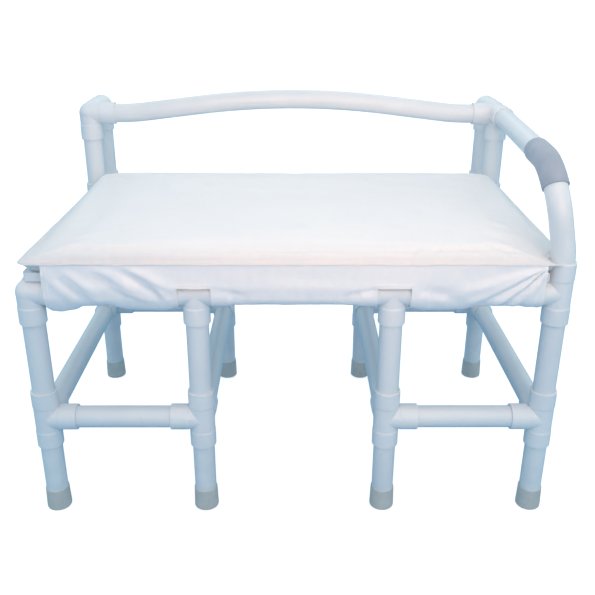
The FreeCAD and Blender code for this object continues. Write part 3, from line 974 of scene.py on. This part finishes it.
    def flange(self) -> Piece:
        """The two covers' edges sewn together, standing out as a thin lip with a slight ripple.

        Returns:
            The lip.
        """
        line = self.outline()
        line[:, 2] += unevenness(line * np.array([1, 1, 0]), 26.0, 2.2) * 0.0010
        deselect()
        bpy.ops.curve.primitive_bezier_circle_add(radius=1.0)
        profile = bpy.context.active_object
        profile.scale = (self.flange_width / 2, self.flange_height / 2, 1.0)
        curve = bpy.data.curves.new("cushion_flange", "CURVE")
        curve.dimensions = "3D"
        curve.twist_mode = "Z_UP"
        spline = curve.splines.new("POLY")
        spline.points.add(len(line) - 2)
        spline.points.foreach_set("co", np.c_[line[:-1], np.ones(len(line) - 1)].ravel())
        spline.use_cyclic_u = True
        curve.bevel_mode = "OBJECT"
        profile.data.resolution_u = 3
        settle(profile)
        curve.bevel_object = profile
        only(linked("cushion_flange", curve))
        bpy.ops.object.convert(target="MESH")
        bpy.data.objects.remove(profile)
        piece = named("cushion_flange")
        edit(piece, bpy.ops.mesh.normals_make_consistent, inside=False)
        bpy.ops.object.shade_smooth()
        self.workshop.dress(piece, "cushion_cover")
        return piece

    def stitches(self, pillow: Piece) -> Piece:
        """A row of stitches on the top cover just inside the flange.

        Args:
            pillow: the finished pillow.

        Returns:
            The stitches.
        """
        line = self.outline(self.stitch_inset)
        line[:, 2] += 0.05
        sewing = Stitches()
        places, normals = [], []
        for point in line:
            hit, place, normal, _ = pillow.ray_cast(Vector(point), Vector((0, 0, -1)))
            if hit:
                places.append(tuple(place))
                normals.append(tuple(normal))
        sewing.run(np.array(places), np.array(normals))
        piece = sewing.build("cushion_stitches")
        self.workshop.dress(piece, "thread")
        return piece


# ---- the skirts ----

@dataclass
class Skirt:
    """A strip of cloth sewn to the cushion's seam, drawn round a long rail and fastened below."""

    workshop: Workshop
    row: Row
    name: str
    replaced: str
    folds: tuple[Fold, ...]
    sags: tuple[tuple[float, float, float], ...]
    seed: float
    half_width: float = 0.443
    slit_side: float = 0.0298
    slit_top: float = 0.484
    slit_out: float = 0.0262
    board_out: float = 0.0235
    step: float = 0.0032
    thickness: float = 0.0009
    hem: float = 0.008
    hem_proud: float = 0.0009
    slit_hem: float = 0.002
    stitch_inset: float = 0.002
    slit_open: float = 0.0014
    wrap_pipe: float = 0.0232
    wrap_socket: float = 0.0259
    crinkle: float = 0.0009
    fine_crinkle: float = 0.0004
    tail_end: float = 0.0436
    tail_z: float = 0.4908
    cross: Rows = field(init=False)
    down: Rows = field(init=False)
    places: Rows = field(init=False)
    outward: Rows = field(init=False)

    def __post_init__(self) -> None:
        """Work out the whole sheet before any piece is made from it."""
        self.cross = self.spaced([
            -self.half_width, -LAYOUT.inner_x - self.slit_side, -LAYOUT.inner_x + self.slit_side,
            LAYOUT.inner_x - self.slit_side, LAYOUT.inner_x + self.slit_side, self.half_width,
        ])
        self.lay_out()

    def spaced(self, stops: Sequence[float]) -> Rows:
        """Places about one step apart that include every stop.

        Args:
            stops: places that can't be missed, in order.

        Returns:
            The places.
        """
        found = [np.array([stops[0]])]
        for low, high in zip(stops, stops[1:]):
            count = max(1, round((high - low) / self.step))
            found.append(np.linspace(low, high, count + 1)[1:])
        return np.concatenate(found)

    def radius(self, across: Rows) -> Rows:
        """How tightly the cloth holds the rail: close on the pipe, wider over the sockets.

        Args:
            across: places along the rail.

        Returns:
            The radius of the wrap at each.
        """
        widest = np.zeros_like(across)
        for column in LAYOUT.columns:
            over = eased(1.0 - (np.abs(across - column) - LAYOUT.reach + 0.004) / 0.016)
            widest = np.maximum(widest, over)
        return self.wrap_pipe + (self.wrap_socket - self.wrap_pipe) * widest

    def sag(self, across: Rows) -> Rows:
        """How far the cloth hangs below the rail.

        Args:
            across: places along the rail.

        Returns:
            The drop at each.
        """
        drop = np.zeros_like(across)
        for middle, spread, depth in self.sags:
            drop = np.maximum(drop, depth * np.exp(-(((across - middle) / spread) ** 4)))
        return drop

    def profile(self, radius: float, drop: float) -> tuple[Rows, int]:
        """The cloth's path round the rail at one place along it.

        Args:
            radius: of the wrap.
            drop: sag below the rail.

        Returns:
            Rows of distance outside the rail's centre and height, and the row at the slits' top.
        """
        seam = LAYOUT.seam_z - 0.0006
        below = (self.slit_out, self.slit_top)
        if self.row is Row.FRONT:
            start = (LAYOUT.front_y - LAYOUT.cushion_front - 0.0004, seam)
            upper = [self.straight(start, below, 18)]
        else:
            start = (LAYOUT.cushion_back - LAYOUT.rear_y - 0.0004, seam)
            edge = (self.board_out, LAYOUT.board_top + 0.0026)
            upper = [self.straight(start, edge, 17), self.straight(edge, below, 8)]
        slit_row = sum(len(run) for run in upper)
        turn = np.linspace(0, math.pi, 30)[1:, None]
        hang = radius + drop * np.sin(np.clip(turn - 0.18, 0, math.pi) / (math.pi - 0.18) * math.pi) ** 1.4
        rows = [np.array([start]), *upper,
                self.straight(below, (radius, LAYOUT.rail_z), 6),
                np.hstack([radius * np.cos(turn), LAYOUT.rail_z - hang * np.sin(turn)]),
                self.straight((-radius, LAYOUT.rail_z), (-radius, self.tail_z - 0.0012), 7),
                self.straight((-radius - 0.0015, self.tail_z), (-self.tail_end, self.tail_z), 6)]
        return self.rounded(np.vstack(rows)), slit_row

    @staticmethod
    def straight(start: tuple[float, float], end: tuple[float, float], count: int) -> Rows:
        """Evenly spaced points of a straight run after its first."""
        share = np.linspace(0, 1, count + 1)[1:, None]
        return np.array(start) * (1 - share) + np.array(end) * share

    @staticmethod
    def rounded(path: Rows) -> Rows:
        """Ease the corners of a path with its ends held.

        Args:
            path: rows of distance and height, which are changed.

        Returns:
            The same rows.
        """
        for _ in range(5):
            path[1:-1] = 0.25 * path[:-2] + 0.5 * path[1:-1] + 0.25 * path[2:]
        return path

    def lay_out(self) -> None:
        """Place every point of the sheet, folds and all."""
        radii, drops = self.radius(self.cross), self.sag(self.cross)
        columns = []
        for radius, drop in zip(radii, drops):
            path, self.slit_row = self.profile(radius, drop)
            columns.append(path)
        paths = np.array(columns).transpose(1, 0, 2)
        tight, _ = self.profile(0.0245, 0.0)
        self.down = np.concatenate([[0.0], np.cumsum(np.linalg.norm(np.diff(tight, axis=0), axis=1))])
        rail_y = LAYOUT.front_y if self.row is Row.FRONT else LAYOUT.rear_y
        places = np.empty((*paths.shape[:2], 3))
        places[..., 0] = self.cross[None, :]
        places[..., 1] = rail_y + self.row.value * paths[..., 0]
        places[..., 2] = paths[..., 1]
        outward = self.normals(places)
        across, down = np.meshgrid(self.cross, self.down)
        lift = sum((fold.lift(across, down) for fold in self.folds), np.zeros_like(across))
        cells = np.stack([across.ravel(), down.ravel() * 0.7, np.zeros(across.size)], axis=1)
        lift += self.crinkle * unevenness(cells, 24.0, self.seed).reshape(across.shape)
        lift += self.fine_crinkle * unevenness(cells, 75.0, self.seed + 5.0).reshape(across.shape)
        lift += self.slit_lift(across, down)
        lift *= eased(down / 0.016) * eased((self.down[-1] - 0.022 - down) / 0.03)
        centre = np.hypot(places[..., 1] - rail_y, places[..., 2] - LAYOUT.rail_z)
        room = np.where(places[..., 2] < LAYOUT.rail_z + 0.012, centre - self.clearance(across), 0.007)
        lift = np.maximum(lift, -np.maximum(room, 0.0))
        self.places = places + outward * lift[..., None]
        self.outward = self.normals(self.places)

    def clearance(self, across: Rows) -> Rows:
        """The least distance from the rail's centre that keeps the cloth off pipe and sockets.

        Args:
            across: places along the rail.

        Returns:
            The distance at each.
        """
        over = np.zeros_like(across)
        for column in LAYOUT.columns:
            over = np.maximum(over, (np.abs(across - column) < LAYOUT.reach + 0.002).astype(float))
        return np.where(over > 0, LAYOUT.socket_r, LAYOUT.pipe_r) + self.thickness / 2 + 0.0003

    def slit_lift(self, across: Rows, down: Rows) -> Rows:
        """The upper edge of each slit stands a little open.

        Args:
            across: places along the rail.
            down: places down the cloth.

        Returns:
            Heights in metres.
        """
        top = self.down[self.slit_row]
        open_edge = np.exp(-(((down - top) / 0.009) ** 2))
        lift = np.zeros_like(across)
        for column in LAYOUT.columns[1:3]:
            lift += self.slit_open * open_edge * np.exp(-(((across - column) / 0.026) ** 4))
        return lift

    def normals(self, places: Rows) -> Rows:
        """Normals of the sheet that point away from the rail.

        Args:
            places: the grid's points.

        Returns:
            The unit normal at each.
        """
        along = np.gradient(places, axis=1)
        fall = np.gradient(places, axis=0)
        normal = np.cross(fall, along) * -self.row.value
        normal /= np.maximum(np.linalg.norm(normal, axis=2, keepdims=True), 1e-12)
        return normal

    def by_slit(self, across: Rows, down: Rows, beyond: float, above: float) -> Rows:
        """Which places fall inside a slit or near it.

        Args:
            across: places along the rail.
            down: places down the cloth.
            beyond: reach past the slit's sides.
            above: reach past its top.

        Returns:
            True or false for each.
        """
        beside = np.minimum(np.abs(across - LAYOUT.inner_x), np.abs(across + LAYOUT.inner_x))
        return (beside < self.slit_side + beyond) & (down > self.down[self.slit_row] - above)

    def in_sheet(self, across: Rows, down: Rows) -> Rows:
        """Which places fall outside the slits."""
        return ~self.by_slit(across, down, 0.0, 0.0)

    def in_hem(self, across: Rows, down: Rows) -> Rows:
        """Which places fall on the turned edges at the ends, the tail and above the slits.

        Args:
            across: places along the rail.
            down: places down the cloth.

        Returns:
            True or false for each.
        """
        near_end = np.abs(across) > self.half_width - self.hem
        near_tail = down > self.down[-1] - self.hem
        near_slit = self.by_slit(across, down, self.slit_hem, self.hem)
        return (near_end | near_tail | near_slit) & self.in_sheet(across, down)

    def build(self) -> list[Piece]:
        """Make the sheet, its turned hems and its stitches.

        Returns:
            The three pieces, the sheet first.
        """
        sheet = self.cloth(self.name, self.in_sheet, 0.0)
        hems = self.cloth(self.name + "_hems", self.in_hem, self.hem_proud)
        stitches = self.stitches()
        mount(sheet, hems, stitches)
        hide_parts(self.replaced)
        return [sheet, hems, stitches]

    def cloth(self, name: str, keep: Keep, proud: float) -> Piece:
        """Cut a grid to the wanted places and drape it over the worked-out sheet.

        Args:
            name: the piece's name.
            keep: says which faces stay, from the places of their middles.
            proud: distance outside the sheet.

        Returns:
            The piece.
        """
        wide, long = len(self.cross) - 1, len(self.down) - 1
        deselect()
        bpy.ops.mesh.primitive_grid_add(x_subdivisions=wide, y_subdivisions=long, size=2.0)
        piece = named(name)
        mesh = piece.data
        centres = np.array([tuple(face.center) for face in mesh.polygons])
        across = np.interp((centres[:, 0] + 1) / 2 * wide, np.arange(wide + 1), self.cross)
        down = np.interp((1 - centres[:, 1]) / 2 * long, np.arange(long + 1), self.down)
        bpy.context.tool_settings.mesh_select_mode = (False, False, True)
        bpy.ops.object.mode_set(mode="EDIT")
        bpy.ops.mesh.select_all(action="DESELECT")
        bpy.ops.object.mode_set(mode="OBJECT")
        mesh.polygons.foreach_set("select", ~keep(across, down))
        bpy.ops.object.mode_set(mode="EDIT")
        bpy.ops.mesh.delete(type="FACE")
        bpy.ops.object.mode_set(mode="OBJECT")
        flat = points_of(mesh)
        column = np.rint((flat[:, 0] + 1) / 2 * wide).astype(int)
        line = np.rint((1 - flat[:, 1]) / 2 * long).astype(int)
        uv = mesh.uv_layers.active or mesh.uv_layers.new(name="cut")
        cut = np.stack([self.cross[column], self.down[line]], axis=1)
        corners = np.array([loop.vertex_index for loop in mesh.loops])
        uv.data.foreach_set("uv", cut[corners].astype(np.float32).ravel())
        set_points(mesh, self.places[line, column] + self.outward[line, column] * proud)
        if self.row is Row.REAR:
            edit(piece, bpy.ops.mesh.flip_normals)
        wall = piece.modifiers.new("wall", "SOLIDIFY")
        wall.thickness = self.thickness
        wall.offset = 0.0
        apply_modifiers(piece)
        bpy.ops.object.shade_smooth_by_angle(angle=math.radians(50))
        self.workshop.dress(piece, "skirt_cloth")
        return piece

    def at(self, across: Rows, down: Rows) -> tuple[Rows, Rows]:
        """Places on the sheet's hemmed face and their normals.

        Args:
            across: along the rail.
            down: down the cloth.

        Returns:
            Rows of places and rows of normals.
        """
        column = np.interp(across, self.cross, np.arange(len(self.cross)))
        line = np.interp(down, self.down, np.arange(len(self.down)))
        left = np.clip(column.astype(int), 0, len(self.cross) - 2)
        upper = np.clip(line.astype(int), 0, len(self.down) - 2)
        right_share, lower_share = (column - left)[:, None], (line - upper)[:, None]
        found = []
        for grid in (self.places, self.outward):
            top = grid[upper, left] * (1 - right_share) + grid[upper, left + 1] * right_share
            low = grid[upper + 1, left] * (1 - right_share) + grid[upper + 1, left + 1] * right_share
            found.append(top * (1 - lower_share) + low * lower_share)
        return found[0] + found[1] * (self.hem_proud + self.thickness / 2), found[1]

    def stitches(self) -> Piece:
        """Sew every hem a little inside its edge.

        Returns:
            The stitches.
        """
        sewing = Stitches()
        inset = self.hem - self.stitch_inset
        top, end = self.down[self.slit_row] - inset, self.down[-1] - inset
        lines = []
        for side in (-1, 1):
            lines.append(((side * (self.half_width - inset), 0.004), (side * (self.half_width - inset), end)))
            middle = side * LAYOUT.inner_x
            lines.append(((middle - self.slit_side, top), (middle + self.slit_side, top)))
        stops = [-self.half_width + inset, -LAYOUT.inner_x - self.slit_side - inset,
                 -LAYOUT.inner_x + self.slit_side + inset, LAYOUT.inner_x - self.slit_side - inset,
                 LAYOUT.inner_x + self.slit_side + inset, self.half_width - inset]
        lines += [((stops[i], end), (stops[i + 1], end)) for i in (0, 2, 4)]
        for start, stop in lines:
            count = max(3, int(math.dist(start, stop) / 0.002))
            share = np.linspace(0, 1, count)
            line = np.array(start) + np.outer(share, np.subtract(stop, start))
            sewing.run(*self.at(line[:, 0], line[:, 1]))
        piece = sewing.build(self.name + "_stitches")
        self.workshop.dress(piece, "thread")
        return piece


FRONT_FOLDS = (
    Fold((-0.434, 0.020), (-0.394, 0.070), 0.0030, 0.014, 0.008),
    Fold((-0.412, 0.030), (-0.382, 0.062), -0.0032, 0.008, 0.005),
    Fold((-0.396, 0.018), (-0.352, 0.052), 0.0034, 0.010, 0.006),
    Fold((-0.372, 0.046), (-0.350, 0.070), 0.0030, 0.012, 0.006),
    Fold((-0.350, 0.024), (-0.306, 0.050), -0.0022, 0.010, 0.010),
    Fold((-0.344, 0.008), (-0.286, 0.044), 0.0032, 0.012, 0.006),
    Fold((-0.318, 0.040), (-0.262, 0.066), 0.0036, 0.014, 0.006),
    Fold((-0.300, 0.016), (-0.252, 0.050), -0.0030, 0.008, 0.006),
    Fold((-0.292, 0.005), (-0.216, 0.047), 0.0046, 0.012, 0.005),
    Fold((-0.252, 0.032), (-0.226, 0.064), 0.0030, 0.009, 0.005),
    Fold((-0.262, 0.046), (-0.240, 0.064), -0.0032, 0.008, 0.006),
    Fold((-0.128, 0.046), (-0.092, 0.066), -0.0030, 0.012, 0.008),
    Fold((-0.142, 0.038), (-0.098, 0.050), 0.0016, 0.008, 0.005),
    Fold((0.134, 0.046), (0.092, 0.066), -0.0030, 0.008, 0.012),
    Fold((0.146, 0.038), (0.100, 0.052), 0.0016, 0.005, 0.008),
    Fold((-0.06, 0.020), (0.10, 0.028), -0.0010, 0.014, 0.010),
    Fold((0.232, 0.048), (0.286, 0.064), -0.0034, 0.014, 0.010),
    Fold((0.440, 0.004), (0.262, 0.068), 0.0028, 0.012, 0.014, 0.6),
    Fold((0.440, 0.004), (0.318, 0.072), 0.0036, 0.008, 0.011, 0.7),
    Fold((0.438, 0.006), (0.340, 0.074), -0.0034, 0.006, 0.007, 0.7),
    Fold((0.440, 0.006), (0.362, 0.078), 0.0040, 0.006, 0.008, 0.7),
    Fold((0.440, 0.010), (0.378, 0.080), -0.0032, 0.005, 0.006, 0.6),
    Fold((0.441, 0.012), (0.394, 0.082), 0.0036, 0.006, 0.007, 0.6),
    Fold((0.441, 0.018), (0.414, 0.070), 0.0026, 0.005, 0.006, 0.5),
)
REAR_FOLDS = (
    Fold((-0.436, 0.075), (-0.38, 0.130), 0.0040, 0.012, 0.008),
    Fold((-0.36, 0.070), (-0.28, 0.128), 0.0042, 0.014, 0.009),
    Fold((-0.25, 0.074), (-0.215, 0.120), 0.0034, 0.010, 0.007),
    Fold((-0.12, 0.090), (-0.07, 0.132), 0.0030, 0.010, 0.008),
    Fold((0.15, 0.090), (0.09, 0.134), 0.0032, 0.008, 0.011),
    Fold((0.40, 0.066), (0.31, 0.128), 0.0044, 0.009, 0.013),
    Fold((0.43, 0.072), (0.37, 0.136), 0.0036, 0.008, 0.011),
    Fold((0.28, 0.080), (0.22, 0.126), 0.0038, 0.009, 0.012),
)
FRONT_SAGS = (
    (-0.414, 0.030, 0.013), (-0.372, 0.040, 0.003), (-0.271, 0.053, 0.012),
    (0.270, 0.054, 0.012), (0.392, 0.060, 0.003),
)
REAR_SAGS = ((-0.34, 0.07, 0.008), (0.02, 0.09, 0.003), (0.30, 0.08, 0.009))


# ---- camera and studio ----

@dataclass(frozen=True)
class Lamp:
    """One square soft lamp: its place, the point that it faces, its side, power, colour and spread."""

    name: str
    place: Point
    aim: Point
    size: float
    power: float
    colour: Colour
    spread: float = 180.0

    def hang(self) -> None:
        """Put the lamp in the scene."""
        data = bpy.data.lights.new(self.name, "AREA")
        data.size = self.size
        data.energy = self.power
        data.color = self.colour
        data.spread = math.radians(self.spread)
        piece = linked(self.name, data)
        piece.location = self.place
        facing = Vector(self.aim) - Vector(self.place)
        piece.rotation_euler = facing.to_track_quat("-Z", "Y").to_euler()


LAMPS = (
    Lamp("key", (0.25, -1.35, 2.05), (0.05, -0.1, 0.45), 1.5, 9.0, (1.0, 0.60, 0.50)),
    Lamp("front_fill", (0.0, -2.2, 1.1), (0.05, -0.25, 0.68), 0.8, 0.98, (1.0, 0.50, 0.28), 42.0),
    Lamp("right_fill", (1.3, -1.9, 1.3), (0.2, 0.0, 0.7), 0.8, 0.7, (1.0, 0.85, 0.55), 60.0),
    Lamp("rear_fill", (0.0, 2.2, 2.2), (0.0, 0.0, 0.5), 1.8, 7.0, (1.0, 0.92, 0.84)),
)


@dataclass(frozen=True)
class Studio:
    """The camera, a pale floor and soft lights."""

    eye: Point = (-0.0027, -1.60025, 0.9979)
    pitch: float = 23.12
    yaw: float = 0.38
    roll: float = 0.17
    lens: float = 46.26
    floor_size: float = 400.0
    floor_tint: Colour = (0.19, 0.46, 0.66)
    floor_glow: float = 0.78
    surround: Colour = (0.735, 0.90, 0.985)
    surround_strength: float = 0.91

    def camera(self) -> None:
        """Place the camera and make it the scene's."""
        pitch, yaw, roll = (math.radians(angle) for angle in (self.pitch, self.yaw, self.roll))
        ahead = Vector((math.sin(yaw) * math.cos(pitch), math.cos(yaw) * math.cos(pitch), -math.sin(pitch)))
        level = Vector((math.cos(yaw), -math.sin(yaw), 0))
        upright = level.cross(ahead)
        right = math.cos(roll) * level + math.sin(roll) * upright
        above = math.cos(roll) * upright - math.sin(roll) * level
        turn = Matrix((right, above, -ahead)).transposed().to_4x4()
        data = bpy.data.cameras.new("camera")
        data.sensor_width = 36.0
        data.lens = self.lens
        data.clip_end = 200.0
        piece = linked("camera", data)
        piece.matrix_world = Matrix.Translation(Vector(self.eye)) @ turn
        bpy.context.scene.camera = piece

    def floor(self) -> None:
        """A wide pale floor, seen white and lighting the bench from below with a cool tint."""
        deselect()
        bpy.ops.mesh.primitive_plane_add(size=self.floor_size, location=(0, 0, -0.0005))
        piece = named("studio_floor")
        settle(piece)
        graph = Graph("studio_floor")
        grain = graph.noise(3.0, 3.0)
        rough = graph.spread(grain, 0.3, 0.7, 0.85, 0.95)
        material = graph.finish((*self.floor_tint, 1), rough, graph.bump(grain, 0.0002))
        seen = graph.add("BsdfPrincipled", Base_Color=(0.5, 0.5, 0.5, 1), Roughness=1.0,
                         Specular_IOR_Level=0.0, Emission_Color=(1, 1, 1, 1),
                         Emission_Strength=self.floor_glow)
        self.to_camera(graph.tree, graph.shader.outputs[0], seen.outputs[0], "Material Output")
        piece.data.materials.append(material)

    @staticmethod
    def to_camera(tree: bpy.types.NodeTree, elsewhere: Socket,
                  seen: Socket, output: str) -> None:
        """Show one shader of the backdrop in the picture and light the bench by another.

        Args:
            tree: the backdrop's nodes.
            elsewhere: the shader that lights and reflects.
            seen: the shader in the picture.
            output: the name of the output node.
        """
        path = tree.nodes.new("ShaderNodeLightPath")
        mix = tree.nodes.new("ShaderNodeMixShader")
        tree.links.new(path.outputs["Is Camera Ray"], mix.inputs[0])
        tree.links.new(elsewhere, mix.inputs[1])
        tree.links.new(seen, mix.inputs[2])
        tree.links.new(mix.outputs[0], tree.nodes[output].inputs["Surface"])

    def lights(self) -> None:
        """Hang the lamps in a cool surround."""
        world = bpy.data.worlds.new("surround")
        world.use_nodes = True
        tree = world.node_tree
        dim = tree.nodes["Background"]
        dim.inputs["Color"].default_value = (*self.surround, 1)
        dim.inputs["Strength"].default_value = self.surround_strength
        white = tree.nodes.new("ShaderNodeBackground")
        white.inputs["Color"].default_value = (1, 1, 1, 1)
        self.to_camera(tree, dim.outputs[0], white.outputs[0], "World Output")
        bpy.context.scene.world = world
        for lamp in LAMPS:
            lamp.hang()


def main() -> None:
    """Build everything in order and report each piece."""
    logging.basicConfig(level=logging.INFO, format="%(message)s")
    bpy.context.scene.view_settings.view_transform = "Standard"
    studio = Studio()
    studio.camera()
    studio.floor()
    studio.lights()
    workshop = Workshop()
    workshop.dress_frame()
    assemblies = (
        Cushion(workshop),
        Skirt(workshop, Row.FRONT, "front_skirt", "front_flap", FRONT_FOLDS, FRONT_SAGS, 2.0),
        Skirt(workshop, Row.REAR, "rear_skirt", "rear_flap", REAR_FOLDS, REAR_SAGS, 11.0),
    )
    for assembly in assemblies:
        for piece in assembly.build():
            LOG.info("%s: %d faces", piece.name, len(piece.data.polygons))


if __name__ == "__main__":
    main()
